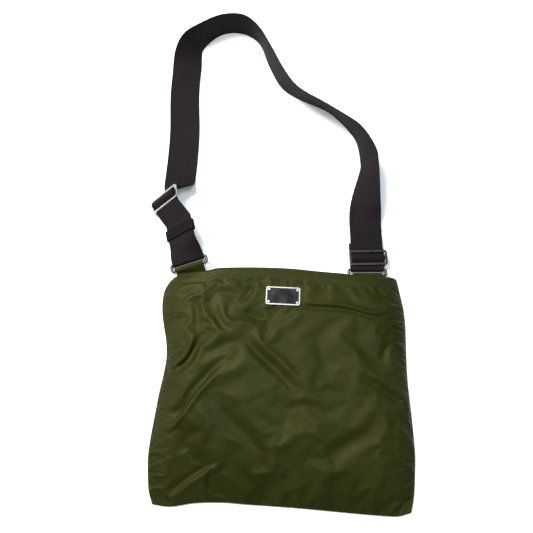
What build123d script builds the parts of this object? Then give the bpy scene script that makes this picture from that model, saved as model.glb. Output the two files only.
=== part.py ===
from build123d import *
import os
from math import cos, sin, pi, radians

# Flat crossbody bag lying on its back, with its webbing strap laid out in a loop above it. Millimetres.
# The origin is the middle of the back panel's outer face. +X is the bag's right, +Y runs from the bag's
# bottom to the strap, +Z comes out of the front panel.

# Bag body
BAG_HEIGHT = 248.0
HALF_WIDTHS = [(-126, 128), (-112, 133), (-76, 136), (-20, 131), (50, 130), (126, 130)]  # (y, half width)
BOTTOM = -126.0
TOP = BOTTOM + BAG_HEIGHT
CORNER_DROP = 13.0  # the top edge is this much lower at the corners
CROWN = 20.0  # how far the front panel stands off its seam in the middle
TOP_THINNING = 0.24  # share of the crown lost at the mouth
SIDE_POWER = 8  # how square the sides of the bag are
CLOTH = 1.2
LINING = 0.6
GAP = 0.3  # between layers of cloth
BACK_TOP = CLOTH + GAP  # where the front half starts, above the back panel

# Facings inside the mouth
FACING_T = 1.0
FACING_HALF = 112.0
BACK_FACING_Z = 4.4

# Zip
ZIP_HALF = 100.0
ZIP_Y = 104.0
TAPE_T = 0.8
TEETH_PITCH = 2.4
TOOTH = (1.1, 1.8, 1.7)
ZIP_Z = 10.4
SLIDER = (10.0, 5.4, 5.2)
SLIDER_X = -80.0
PLATE_T = 1.1
PULL = (17.0, 4.4)

# Binding inside the seams
SEAM_TAPE_W = 2.6
SEAM_TAPE_T = 0.4
SEAM_IN = 4.5

# Plaque
PLAQUE = (38.0, 21.0, 1.4)
PLAQUE_AT = (-2.0, 89.0)
RIM = 1.3
RIVET_R = 0.9

# Strap
WEB_W = 38.0
WEB_T = 1.5
TAB_W = 34.0
TAB_T = 1.2
HINGE_Y = 122.8
HINGE_Z = 6.2

# Rings: a round wire bent to a rectangle
WIRE_R = 1.5
RING_W = 43.0
RING_H = 8.0

# Slides: a flat metal frame with a centre bar
SLIDE_W = 44.0
SLIDE_T = 1.8
BAR = 2.2
LEFT_SLIDE_H = 18.0
RIGHT_SLIDE_H = 18.0

KEEPER_L = 12.0
KEEPER_T = 1.2

LAYER = (WEB_T + GAP) / 2 + 0.1  # half the distance between the two layers of the doubled strap
BAR_TURN = WIRE_R + GAP + WEB_T / 2  # radius of the webbing's middle round a ring's bar
UNDER = SLIDE_T / 2 + 0.25 + WEB_T / 2  # height of the webbing's middle over or under a slide's bar


def save(node, shape):
    shape.label = node
    export_step(shape, "parts/" + node + ".step")


def through(points, per_span):
    """A smooth run of tuples through the given ones (Catmull-Rom)."""
    ends = [tuple(2 * a - b for a, b in zip(points[0], points[1]))]
    ends += list(points)
    ends.append(tuple(2 * a - b for a, b in zip(points[-1], points[-2])))
    run = []
    for before, a, b, after in zip(ends, ends[1:], ends[2:], ends[3:]):
        for k in range(per_span):
            t = k / per_span
            run.append(tuple(
                0.5 * (2 * q + (r - p) * t + (2 * p - 5 * q + 4 * r - s) * t * t
                       + (3 * q - p - 3 * r + s) * t ** 3)
                for p, q, r, s in zip(before, a, b, after)))
    return run + [points[-1]]


def half_width(y):
    for (y0, w0), (y1, w1) in zip(HALF_WIDTHS, HALF_WIDTHS[1:]):
        if y <= y1:
            t = (y - y0) / (y1 - y0)
            return w0 + (w1 - w0) * (3 * t * t - 2 * t ** 3)
    return HALF_WIDTHS[-1][1]


def top_edge(x):
    return TOP - CORNER_DROP * (x / HALF_WIDTHS[-1][1]) ** 2


def front_point(u, v, inset, base=BACK_TOP):
    """A point of the front half, inset from its outer face: u is -1 to 1 across, v is 0 to 1 up."""
    wide = half_width(BOTTOM + v * BAG_HEIGHT) - inset
    low = BOTTOM + inset
    x = u * wide
    y = low + v * (top_edge(x) - low)
    rise = (CROWN - inset) * (1 - (1 - v) ** 6) * (1 - TOP_THINNING * v ** 3)
    return Vector(x, y, base + rise * (1 - abs(u) ** SIDE_POWER))


def closed_sheet(outer, inner):
    """A solid between two grids of points, closed by ruled walls round the edge."""
    skins = [Face.make_surface_from_array_of_points(g, max_deg=5) for g in (outer, inner)]
    walls = []
    for edge in skins[0].edges():
        middle = edge.position_at(0.5)
        other = min(skins[1].edges(), key=lambda e: (e.position_at(0.5) - middle).length)
        walls.append(Face.make_surface_from_curves(edge, other))
    return Solid(Shell(skins + walls))


def front_sheet(inset, thick, u_max=1.0, v_range=(0.0, 1.0), base=BACK_TOP):
    us = [u_max * sin(pi / 2 * (2 * i / 16 - 1)) for i in range(17)]
    vs = [v_range[0] + (v_range[1] - v_range[0]) * (j / 14) ** 1.5 for j in range(15)]
    grids = [[[front_point(u, v, d, base) for v in vs] for u in us] for d in (inset, inset + thick)]
    return closed_sheet(*grids)


def flat_sheet(inset, z, thick, low=BOTTOM, across=None, short=0.0):
    """A flat sheet with the bag's outline, from the height low to a little short of the top edge."""
    start = low + inset
    end = HALF_WIDTHS[-1][1] - inset if across is None else across
    heights = [start + (top_edge(end) - short - start) * k / 6 for k in range(7)]
    right = [(half_width(y) - inset if across is None else across, y) for y in heights]
    head = [(end * k / 6, top_edge(end * k / 6) - short) for k in range(6, -7, -1)]
    left = [(-x, y) for x, y in reversed(right)]
    side = (lambda run: Spline(*run)) if across is None else (lambda run: Line(run[0], run[-1]))
    sides = [side(right), side(left)]
    rims = [sides[0], Spline(*head), sides[1], Line(left[-1], right[0])]
    return extrude(Pos(0, 0, z) * make_face(rims), thick)


def strip(stations, thick):
    """A ribbon through stations (centre, direction across, direction along, width)."""
    rects = []
    for centre, across, along, wide in stations:
        side = across.normalized() * (wide / 2)
        up = across.cross(along).normalized() * (thick / 2)
        corners = [centre + side + up, centre - side + up, centre - side - up, centre + side - up]
        rects.append(Wire.make_polygon(corners, close=True))
    return Solid.make_loft(rects, True)


class Lay:
    """A local frame: x across the strap to the right, y along it, z out of its face."""

    def __init__(self, x, y, z, yaw, roll, pitch=0):
        self.at = Vector(x, y, z)
        yaw, roll, pitch = radians(yaw), radians(roll), radians(pitch)
        self.x = Vector(cos(yaw) * cos(roll), sin(yaw) * cos(roll), sin(roll))
        level = Vector(-sin(yaw), cos(yaw), 0)
        self.y = level * cos(pitch) + self.x.cross(level) * sin(pitch)
        self.z = self.x.cross(self.y)

    def point(self, x, y, z):
        return self.at + self.x * x + self.y * y + self.z * z

    def plane(self):
        return Plane(origin=self.at, x_dir=self.x, z_dir=self.z)


LEFT_RING = Lay(-111, HINGE_Y, 6.8, 18, 10)  # at the ring's lower bar
RIGHT_RING = Lay(94.5, HINGE_Y - 0.5, 5.4, 3, 0)
LEFT_SLIDE = Lay(-147.5, 203, 17.6, 20, 40, -10)  # at the slide's centre bar
RIGHT_SLIDE = Lay(95.2, 143.4, 9.2, 4, 0)
KEEPER = Lay(-125, 164, 15.8, 16, 36)
# Where the strap drops from the slide to the floor
RISE = [Lay(-142, 217.5, 11.0, 12, 31), Lay(-134.4, 224, 6.9, 7, 18), Lay(-134.6, 229.5, 3.6, 4, 8),
        Lay(-134.5, 234.5, 1.6, 4, 2)]

# The strap's centre line over the floor: x, y, heading in degrees, and roll, where 0 lies flat and
# 90 stands on its inner edge.
LOOP = [
    (-134.5, 240, 94, 0), (-134.5, 272, 91, 0), (-136, 310, 93, 0), (-141, 360, 95, 0), (-142, 398, 90, 2),
    (-139, 428, 80, 38), (-126, 445, 57, 76), (-99, 466, 24, 92), (-70, 468, -18, 93), (-48, 451, -54, 95),
    (-32, 418, -69, 87), (-14, 383, -48, 88), (8, 361, -26, 104), (43, 342, -36, 111), (67, 322, -53, 103),
    (84, 303, -68, 90), (95, 275, -90, 70), (96, 258, -99, 62), (93, 221, -102, 34), (93, 196, -91, 6),
    (94, 178, -87, 0),
]


def on_floor(x, y, heading, roll):
    heading, roll = radians(heading), radians(roll)
    out = Vector(-sin(heading), cos(heading), 0)
    across = out * -cos(roll) - Vector(0, 0, sin(roll))
    z = WEB_T / 2 * abs(cos(roll)) + WEB_W / 2 * abs(sin(roll))
    return Vector(x, y, z), across, Vector(cos(heading), sin(heading), 0), WEB_W


def in_lay(lay, y, z, slope, x=0.0, wide=WEB_W):
    """A station at (y, z) of a local frame; slope is its direction in the frame's y-z plane, in degrees."""
    along = lay.y * cos(radians(slope)) + lay.z * sin(radians(slope))
    return lay.point(x, y, z), lay.x, along, wide


def turn(lay, y, z, radius, start, end, steps, x=0.0, wide=WEB_W):
    """Stations round a bar at (y, z) of a local frame, from one angle to another."""
    way = 1 if end > start else -1
    angles = [start + (end - start) * k / steps for k in range(steps + 1)]
    return [in_lay(lay, y + radius * cos(radians(a)), z + radius * sin(radians(a)), a + 90 * way, x, wide)
            for a in angles]


def moved(lay, at):
    """The same local frame at another place."""
    other = Lay(0, 0, 0, 0, 0)
    other.at, other.x, other.y, other.z = at, lay.x, lay.y, lay.z
    return other


def blend_lay(a, b, t):
    s = t * t * (3 - 2 * t)
    lay = Lay(0, 0, 0, 0, 0)
    lay.at = a.at + (b.at - a.at) * t
    lay.x = (a.x + (b.x - a.x) * s).normalized()
    lay.z = (a.z + (b.z - a.z) * s).normalized()
    lay.y = lay.z.cross(lay.x).normalized()
    return lay


def left_foot(z_ring, z_slide, upward):
    """One layer of the doubled strap between the left ring and the left slide."""
    bar = moved(LEFT_RING, LEFT_RING.point(0, RING_H, 0))
    half = KEEPER.y * 13
    low, high = moved(KEEPER, KEEPER.at - half), moved(KEEPER, KEEPER.at + half)
    slide = moved(LEFT_SLIDE, LEFT_SLIDE.point(0, -LEFT_SLIDE_H / 2 - 1, 0))
    flat = LAYER if z_ring > 0 else -LAYER
    stations = []
    for t in (0.25, 0.5, 0.75):
        stations.append(in_lay(blend_lay(bar, low, t), 0, z_ring + (flat - z_ring) * t, 0))
    for t in (0, 0.5, 1):
        stations.append(in_lay(blend_lay(low, high, t), 0, flat, 0))
    for t in (0.25, 0.5, 0.75, 1):
        stations.append(in_lay(blend_lay(high, slide, t), 0, flat + (z_slide - flat) * t, 0))
    return stations if upward else list(reversed(stations))


def flip(stations):
    """The same places met travelling the other way."""
    return [(c, a, d * -1, w) for c, a, d, w in stations]


def strap_webbing():
    loop_z = ((BAR / 2) ** 2 + (SLIDE_T / 2) ** 2) ** 0.5 + GAP + WEB_T / 2
    deep = UNDER + WEB_T + GAP
    edge = LEFT_SLIDE_H / 2 - BAR / 2
    # The sewn end comes off the slide's centre bar and runs down the back to the ring.
    path = turn(LEFT_SLIDE, 0, 0, loop_z, 100, -80, 8)
    path += [in_lay(LEFT_SLIDE, -5.5, -deep + 0.9, 205), in_lay(LEFT_SLIDE, -edge, -deep, 180)]
    path += flip(left_foot(-BAR_TURN, -deep, False))
    # Round the ring's upper bar, and up the front to the slide.
    path += turn(LEFT_RING, RING_H, 0, BAR_TURN, 270, 90, 8)
    path += left_foot(BAR_TURN, -UNDER, True)
    # Under the lower bar, over the centre bar and the sewn end, under the upper bar, down to the floor.
    over = loop_z + WEB_T + GAP + 0.1
    path += [in_lay(LEFT_SLIDE, -edge + 1.3, -UNDER + 0.1, 20), in_lay(LEFT_SLIDE, -4.5, 1.0, 50),
             in_lay(LEFT_SLIDE, -2.0, over - 0.5, 25), in_lay(LEFT_SLIDE, 0.0, over, 0),
             in_lay(LEFT_SLIDE, 2.0, over - 0.5, -25), in_lay(LEFT_SLIDE, 4.5, 1.0, -50),
             in_lay(LEFT_SLIDE, edge - 1.3, -UNDER + 0.1, -20), in_lay(LEFT_SLIDE, edge + 2, -UNDER - 0.4, -14),
             *(in_lay(lay, 0, 0, slope) for lay, slope in zip(RISE, (-34, -32, -24, -10)))]
    # The loop that goes over the shoulder.
    run = through([(x, y, h, r) for x, y, h, r in LOOP], 4)
    path += [on_floor(*s) for s in run]
    # Through the right slide: under, over and under its bars, then round the ring and back as a tail.
    reach = RIGHT_SLIDE_H / 2 - BAR / 2
    down = [in_lay(RIGHT_SLIDE, reach + 8, -UNDER - 3.0, 200), in_lay(RIGHT_SLIDE, reach + 1.5, -UNDER, 180),
            in_lay(RIGHT_SLIDE, reach - 1.4, -UNDER + 0.2, 165), in_lay(RIGHT_SLIDE, 3.0, UNDER - 0.9, 145),
            in_lay(RIGHT_SLIDE, 1.0, UNDER, 180), in_lay(RIGHT_SLIDE, -1.0, UNDER, 180),
            in_lay(RIGHT_SLIDE, -3.0, UNDER - 0.9, 215), in_lay(RIGHT_SLIDE, -reach + 1.4, -UNDER + 0.2, 195),
            in_lay(RIGHT_SLIDE, -reach - 1.3, -UNDER, 180)]
    down += turn(RIGHT_RING, RING_H, 0, BAR_TURN, 90, 270, 8)
    down += [in_lay(RIGHT_RING, RING_H + 6, -BAR_TURN, -1), in_lay(RIGHT_RING, RING_H + 20, -BAR_TURN - 0.6, -3),
             in_lay(RIGHT_RING, RING_H + 34, -BAR_TURN - 1.5, -4)]
    # The strap comes down with its other edge on the right, so these stations are turned over.
    path += [(centre, across * -1, along, wide) for centre, across, along, wide in down]
    return strip(path, WEB_T), path


def tab(lay, x, shift):
    """A short loop of bag cloth sewn between the back panel and its facing, round a ring's lower bar.
    x is where it is sewn, and shift how far its middle is from the ring's."""
    radius = WIRE_R + GAP + TAB_T / 2
    root = Lay(x, HINGE_Y - 20, BACK_TOP + TAB_T + GAP / 2, 0, 0)
    neck = moved(root, root.at + Vector(0, 12, 0))
    half = (TAB_T + GAP) / 2
    path = [in_lay(root, 0, -half, 0, 0, TAB_W), in_lay(neck, 0, -half, 0, 0, TAB_W)]
    path += turn(lay, 0, 0, radius, 270, 470, 9, shift, TAB_W)
    path += [in_lay(neck, 0, half, 180, 0, TAB_W), in_lay(root, 0, half, 180, 0, TAB_W)]
    return strip(path, TAB_T)


def ring(lay):
    middle = Plane(origin=lay.point(0, RING_H / 2, 0), x_dir=lay.x, z_dir=lay.z)
    line = middle * RectangleRounded(RING_W, RING_H, 2.6)
    path = line.face().outer_wire()
    start = path.edges()[0]
    section = Plane(origin=start.position_at(0), z_dir=start.tangent_at(0)) * Circle(WIRE_R)
    return sweep(section, path, transition=Transition.ROUND)


def slide(lay, tall):
    body = extrude(RectangleRounded(SLIDE_W, tall, 2.5), SLIDE_T / 2, both=True)
    slot = (tall - 3 * BAR) / 2
    hole = Box(SLIDE_W - 2 * BAR, slot, 2 * SLIDE_T)
    for side in (-1, 1):
        body -= Pos(0, side * (slot + BAR) / 2, 0) * hole
    return lay.plane().location * body


def keeper():
    inside = (WEB_W + 2.0, 2 * (LAYER + WEB_T / 2) + 0.9)
    ring_2d = RectangleRounded(inside[0] + 2 * KEEPER_T, inside[1] + 2 * KEEPER_T, 2.4)
    ring_2d -= RectangleRounded(*inside, 1.3)
    band = extrude(ring_2d, KEEPER_L / 2, both=True)
    return Plane(origin=KEEPER.at, x_dir=KEEPER.x, z_dir=KEEPER.y * -1).location * band


def zip_parts():
    """Two tapes hanging from the facings, their rows of teeth, and the stops at both ends."""
    reach = TOOTH[2] - 0.35
    floor = BACK_FACING_Z + FACING_T + 0.1
    roof = front_point(ZIP_HALF / 130, 0.93, CLOTH + FACING_T + 2 * GAP).Z - 0.6
    nodes = {}
    for node, low, high in (("zip_tape_back", floor, ZIP_Z - reach), ("zip_tape_front", ZIP_Z + reach, roof)):
        nodes[node] = Pos(0, ZIP_Y, (low + high) / 2) * Box(2 * ZIP_HALF, TAPE_T, high - low)
    first = SLIDER_X - 0.6
    count = int((ZIP_HALF - 4 - first) / TEETH_PITCH)
    for node, phase, side in (("zip_teeth_front", 0, 1), ("zip_teeth_back", 0.5, -1)):
        z = ZIP_Z + side * (TOOTH[2] / 2 - 0.35)
        spots = [Pos(first + (k + phase) * TEETH_PITCH, ZIP_Y, z) for k in range(count)]
        nodes[node] = Compound(children=[(spot * Box(*TOOTH)).solid() for spot in spots])
    ends = (SLIDER_X - SLIDER[0] / 2 - 1.4, ZIP_HALF - 2)
    nodes["zip_stops"] = Compound(children=[(Pos(x, ZIP_Y, ZIP_Z) * Box(1.6, 2.4, 2.4)).solid() for x in ends])
    return nodes


def zip_slider():
    """Two plates joined by a post at the closed end, with an ear on top for the pull."""
    body = Box(*SLIDER)
    body -= Box(SLIDER[0] + 1, SLIDER[1] - 2 * PLATE_T, SLIDER[2] - 1.2)
    body -= Box(SLIDER[0] + 1, TAPE_T + 0.8, SLIDER[2] + 2)
    body += Pos(1.1 - SLIDER[0] / 2, 0, 0) * Box(2.2, SLIDER[1], 1.2)
    ear = Box(4.4, 2.6, 2.2) - Pos(0.4, 0.2, 0) * Cylinder(0.75, 4)
    body += Pos(0, SLIDER[1] / 2 + 1.2, 0) * ear
    return Pos(SLIDER_X, ZIP_Y, ZIP_Z) * body


def zip_pull():
    """A pull tab: a pin through the slider's ear, two lugs beside it, and a flat tongue."""
    body = Cylinder(0.5, PULL[1])
    for side in (-1, 1):
        body += Pos(1.7, 0, side * (PULL[1] - 0.8) / 2) * Box(4.4, 1.4, 0.8)
    body += Pos(3.6 + PULL[0] / 2, 0, 0) * Box(PULL[0], 1.2, PULL[1])
    return Pos(SLIDER_X + 0.4, ZIP_Y + SLIDER[1] / 2 + 1.4, ZIP_Z) * body


def plaque_frame():
    x, y = PLAQUE_AT
    u = 0.0
    v0, v1 = 0.84, 0.9
    a, b = front_point(u, v0, 0), front_point(u, v1, 0)
    slope = (b - a).normalized()
    v = v0 + (y - a.Y) / (b.Y - a.Y) * (v1 - v0)
    spot = front_point(u, v, 0)
    normal = Vector(1, 0, 0).cross(slope)
    return Plane(origin=Vector(x, y, spot.Z) + normal * 0.35, x_dir=Vector(1, 0, 0), z_dir=normal)


def plaque_parts():
    plane = plaque_frame().location
    wide, tall, thick = PLAQUE
    plate = extrude(RectangleRounded(wide, tall, 2.4), thick)
    well = Pos(0, 0, 0.6) * extrude(RectangleRounded(wide - 2 * RIM, tall - 2 * RIM, 1.4), thick)
    enamel = Pos(0, 0, 0.6) * extrude(RectangleRounded(wide - 2 * RIM, tall - 2 * RIM, 1.4), 0.5)
    corners = [(sx * (wide / 2 - 3.2), sy * (tall / 2 - 3.2)) for sx in (-1, 1) for sy in (-1, 1)]
    spots = [Pos(x, y, 0) for x, y in corners]
    plate -= well
    for spot in spots:
        plate -= spot * Cylinder(RIVET_R, 8)
        enamel -= spot * Cylinder(RIVET_R + 0.05, 8)
    depth = CLOTH + 0.9
    rivets = []
    washers = []
    for spot in spots:
        shank = Pos(0, 0, 1.2 - depth / 2 - 0.6) * Cylinder(RIVET_R - 0.1, depth + 1.2)
        head = Pos(0, 0, 1.35) * Cylinder(RIVET_R + 0.4, 0.5)
        rivets.append((spot * (shank + head)).solid())
        washers.append((spot * Pos(0, 0, -CLOTH - 1.0) * (Cylinder(2.4, 0.5) - Cylinder(RIVET_R, 2))).solid())
    holes = [plane * (spot * Cylinder(RIVET_R + 0.1, 12)) for spot in spots]
    nodes = {
        "plaque_plate": plane * plate,
        "plaque_enamel": plane * enamel,
        "plaque_rivets": Compound(children=[plane * r for r in rivets]),
        "plaque_washers": Compound(children=[plane * w for w in washers]),
    }
    return nodes, holes


def seam_tapes():
    """Binding over the raw edges inside the side and bottom seams."""
    middle = BACK_TOP + 0.35 + SEAM_TAPE_T / 2
    nodes = {}
    for node, side in (("left_seam_tape", -1), ("right_seam_tape", 1)):
        heights = [-92 + 180 * k / 8 for k in range(9)]
        stations = [(Vector(side * (half_width(y) - SEAM_IN), y, middle), Vector(1, 0, 0), Vector(0, 1, 0),
                     SEAM_TAPE_W) for y in heights]
        nodes[node] = strip(stations, SEAM_TAPE_T)
    nodes["bottom_seam_tape"] = Pos(0, BOTTOM + SEAM_IN, middle) * Box(220, SEAM_TAPE_W, SEAM_TAPE_T)
    return nodes


def main():
    os.makedirs("parts", exist_ok=True)
    plaque, holes = plaque_parts()
    front = front_sheet(0, CLOTH)
    for hole in holes:
        front -= hole
    inner = CLOTH + GAP
    nodes = {
        "front_panel": front,
        "back_panel": flat_sheet(0, 0, CLOTH),
        "front_lining": front_sheet(CLOTH + 4.2, LINING, 0.98, (0.02, 0.86), BACK_TOP + LINING + GAP),
        "back_lining": flat_sheet(7, BACK_TOP, LINING, short=24.0),
        "front_facing": front_sheet(inner, FACING_T, FACING_HALF / 130, (0.91, 1.0)),
        "back_facing": flat_sheet(0, BACK_FACING_Z, FACING_T, TOP - 30, FACING_HALF, 4.0),
        "left_tab": tab(LEFT_RING, -108.5, -0.5),
        "right_tab": tab(RIGHT_RING, 94.5, 0),
        "left_ring": ring(LEFT_RING),
        "right_ring": ring(RIGHT_RING),
        "left_slide": slide(LEFT_SLIDE, LEFT_SLIDE_H),
        "right_slide": slide(RIGHT_SLIDE, RIGHT_SLIDE_H),
        "keeper_loop": keeper(),
        "zip_slider": zip_slider(),
        "zip_pull": zip_pull(),
    }
    nodes["strap_webbing"], path = strap_webbing()
    nodes.update(zip_parts())
    nodes.update(plaque)
    nodes.update(seam_tapes())
    for node, shape in nodes.items():
        save(node, shape)
    length = sum((b[0] - a[0]).length for a, b in zip(path, path[1:]))
    print("strap length", round(length), "volume", round(nodes["strap_webbing"].volume),
          "section times length", round(length * WEB_W * WEB_T))


main()
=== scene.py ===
"""A flat nylon crossbody bag lying on its back, with its webbing strap in a loose loop above it."""

from math import cos, hypot, pi, radians, sin

import bpy
import numpy as np
from mathutils import Matrix, Vector


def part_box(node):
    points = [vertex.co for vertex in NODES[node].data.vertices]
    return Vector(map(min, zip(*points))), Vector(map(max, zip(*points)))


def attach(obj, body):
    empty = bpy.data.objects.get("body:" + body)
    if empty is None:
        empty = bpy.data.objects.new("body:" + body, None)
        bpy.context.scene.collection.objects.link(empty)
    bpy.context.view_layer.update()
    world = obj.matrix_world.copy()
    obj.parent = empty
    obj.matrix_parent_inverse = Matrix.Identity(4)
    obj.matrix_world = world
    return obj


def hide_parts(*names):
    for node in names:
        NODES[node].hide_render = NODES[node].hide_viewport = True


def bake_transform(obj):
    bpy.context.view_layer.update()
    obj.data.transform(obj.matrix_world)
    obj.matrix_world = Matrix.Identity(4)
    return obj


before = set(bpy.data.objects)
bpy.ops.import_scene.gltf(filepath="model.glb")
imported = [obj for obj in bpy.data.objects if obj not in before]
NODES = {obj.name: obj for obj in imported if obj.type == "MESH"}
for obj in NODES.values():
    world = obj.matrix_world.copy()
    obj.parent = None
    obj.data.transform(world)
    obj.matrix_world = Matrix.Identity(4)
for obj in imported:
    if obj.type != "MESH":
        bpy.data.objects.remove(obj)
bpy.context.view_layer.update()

MM = 0.001
rng = np.random.default_rng(11)


# ---------------------------------------------------------------- mesh helpers

def add_mesh(name, points, faces, material, smooth=True):
    """A mesh object from points in millimetres."""
    mesh = bpy.data.meshes.new(name)
    mesh.from_pydata([tuple(float(c) * MM for c in p) for p in points], [], faces)
    mesh.polygons.foreach_set("use_smooth", [smooth] * len(mesh.polygons))
    mesh.update()
    obj = bpy.data.objects.new(name, mesh)
    bpy.context.scene.collection.objects.link(obj)
    if material:
        mesh.materials.append(material)
    return obj


def grid_faces(rows, columns, wrap=False):
    """Quads over a grid stored row by row; wrap closes each row on itself."""
    faces = []
    for r in range(rows - 1):
        for c in range(columns if wrap else columns - 1):
            n = (c + 1) % columns
            faces.append((r * columns + c, r * columns + n, (r + 1) * columns + n, (r + 1) * columns + c))
    return faces


def modifier(obj, kind, **settings):
    m = obj.modifiers.new(kind.title(), kind)
    for key, value in settings.items():
        setattr(m, key, value)
    return m


def apply_modifiers(obj):
    bpy.context.view_layer.update()
    graph = bpy.context.evaluated_depsgraph_get()
    made = bpy.data.meshes.new_from_object(obj.evaluated_get(graph))
    obj.modifiers.clear()
    obj.data = made


def through(points, per_span):
    """A smooth run of tuples through the given ones (Catmull-Rom)."""
    pts = np.array(points, float)
    ends = np.vstack([2 * pts[0] - pts[1], pts, 2 * pts[-1] - pts[-2]])
    run = []
    for p, q, r, s in zip(ends, ends[1:], ends[2:], ends[3:]):
        for t in np.arange(per_span) / per_span:
            run.append(0.5 * (2 * q + (r - p) * t + (2 * p - 5 * q + 4 * r - s) * t * t
                              + (3 * q - p - 3 * r + s) * t ** 3))
    return np.array(run + [pts[-1]])


# ---------------------------------------------------------------- materials

class Nodes:
    """A short way to build a node tree."""

    def __init__(self, name):
        self.material = bpy.data.materials.new(name)
        self.material.use_nodes = True
        self.tree = self.material.node_tree
        self.shader = self.tree.nodes["Principled BSDF"]

    def add(self, kind, values=None, **settings):
        node = self.tree.nodes.new("ShaderNode" + kind)
        for key, value in settings.items():
            setattr(node, key, value)
        for key, value in (values or {}).items():
            self.put(node.inputs[key], value)
        return node

    def put(self, socket, value):
        if isinstance(value, bpy.types.NodeSocket):
            self.tree.links.new(value, socket)
        else:
            socket.default_value = value

    def math(self, operation, a, b=None):
        node = self.add("Math", operation=operation)
        self.put(node.inputs[0], a)
        if b is not None:
            self.put(node.inputs[1], b)
        return node.outputs[0]

    def ramp(self, fac, low, high, start=0.0, end=1.0):
        node = self.add("MapRange")
        self.put(node.inputs["Value"], fac)
        self.put(node.inputs["From Min"], start)
        self.put(node.inputs["From Max"], end)
        self.put(node.inputs["To Min"], low)
        self.put(node.inputs["To Max"], high)
        return node.outputs[0]

    def mix(self, fac, a, b):
        node = self.add("Mix", data_type="RGBA")
        self.put(node.inputs[0], fac)
        self.put(node.inputs[6], a)
        self.put(node.inputs[7], b)
        return node.outputs[2]

    def noise(self, vector, scale, detail=3.0, roughness=0.5):
        node = self.add("TexNoise", {"Scale": scale, "Detail": detail, "Roughness": roughness})
        self.put(node.inputs["Vector"], vector)
        return node.outputs["Fac"]

    def set(self, **values):
        names = {"color": "Base Color", "rough": "Roughness", "metal": "Metallic", "sheen": "Sheen Weight",
                 "specular": "Specular IOR Level", "tint": "Specular Tint", "normal": "Normal"}
        for key, value in values.items():
            self.put(self.shader.inputs[names[key]], value)
        return self.material

    def bump(self, height, strength, distance, normal=None):
        node = self.add("Bump", {"Strength": strength, "Distance": distance, "Height": height})
        if normal:
            self.put(node.inputs["Normal"], normal)
        return node.outputs["Normal"]


def wave(n, coordinate, pitch):
    """0 to 1 and back over each pitch of a coordinate."""
    angle = n.math("MULTIPLY", coordinate, 2 * pi / pitch)
    return n.math("MULTIPLY_ADD", n.math("SINE", angle), 0.5)


def nylon(name, dark, mid, light, rough):
    """Satin nylon: a fine twill with cloudy changes of colour and gloss."""
    grain = 0.0005
    n = Nodes(name)
    at = n.add("TexCoord").outputs["Object"]
    xyz = n.add("SeparateXYZ", {"Vector": at})
    x, y = xyz.outputs[0], xyz.outputs[1]
    broad = n.noise(at, 14.0, 4.0, 0.55)
    fine = n.noise(at, 160.0, 3.0, 0.6)
    tone = n.mix(n.ramp(broad, 0.0, 1.0, 0.36, 0.64), (*dark, 1), (*mid, 1))
    tone = n.mix(n.ramp(fine, 0.0, 0.35, 0.45, 0.75), tone, (*light, 1))
    twill = wave(n, n.math("ADD", x, n.math("MULTIPLY", y, 1.6)), grain * 2)
    thread = wave(n, y, grain)
    weave = n.math("ADD", n.math("MULTIPLY", twill, 0.7), n.math("MULTIPLY", thread, 0.3))
    color = n.mix(n.ramp(weave, 0.12, 0.0), tone, (*dark, 1))
    crumple = n.noise(at, 55.0, 5.0, 0.6)
    normal = n.bump(crumple, 0.16, 0.0022)
    normal = n.bump(weave, 0.12, 0.00012, normal)
    roughness = n.ramp(broad, rough - 0.05, rough + 0.07, 0.35, 0.65)
    return n.set(color=color, rough=roughness, specular=0.12, tint=(0.80, 0.82, 0.42, 1), normal=normal)


def webbing_cloth(name):
    """Herringbone webbing: the mesh carries across (mm) and along (mm) as a UV map called web."""
    n = Nodes(name)
    uv = n.add("UVMap", uv_map="web").outputs[0]
    at = n.add("TexCoord").outputs["Object"]
    xy = n.add("SeparateXYZ", {"Vector": uv})
    across, along = xy.outputs[0], xy.outputs[1]
    zigzag = n.math("PINGPONG", across, 2.4)
    slope = n.math("ADD", along, zigzag)
    rib = wave(n, slope, 0.95)
    cord = wave(n, across, 1.2)
    weave = n.math("ADD", n.math("MULTIPLY", rib, 0.75), n.math("MULTIPLY", cord, 0.25))
    fuzz = n.noise(at, 700.0, 3.0)
    broad = n.noise(at, 24.0, 3.0)
    patches = n.ramp(broad, 0.0, 1.0, 0.35, 0.65)
    base = n.mix(patches, (0.0080, 0.0057, 0.0062, 1), (0.0115, 0.0082, 0.0089, 1))
    color = n.mix(n.ramp(weave, 0.6, 0.0), base, (0.004, 0.003, 0.0036, 1))
    color = n.mix(n.ramp(fuzz, 0.0, 0.40, 0.46, 0.72), color, (0.030, 0.0225, 0.0245, 1))
    normal = n.bump(weave, 0.5, 0.00035)
    normal = n.bump(fuzz, 0.15, 0.0002, normal)
    return n.set(color=color, rough=n.ramp(fuzz, 0.55, 0.75), specular=0.07, normal=normal)


def metal(name, color, rough):
    """Plated metal with a fine brushed grain and a few duller patches."""
    n = Nodes(name)
    at = n.add("TexCoord").outputs["Object"]
    stretch = n.add("Mapping", {"Vector": at, "Scale": (40.0, 900.0, 900.0)}).outputs[0]
    grain = n.noise(stretch, 1.0, 2.0)
    worn = n.noise(at, 110.0, 4.0, 0.6)
    dull = tuple(c * 0.62 for c in color)
    tone = n.mix(n.ramp(worn, 0.0, 0.5, 0.45, 0.7), (*color, 1), (*dull, 1))
    roughness = n.math("ADD", n.ramp(worn, rough - 0.04, rough + 0.1, 0.35, 0.7), n.ramp(grain, 0.0, 0.06))
    return n.set(color=tone, metal=1.0, rough=roughness, normal=n.bump(grain, 0.15, 0.00008))


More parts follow.
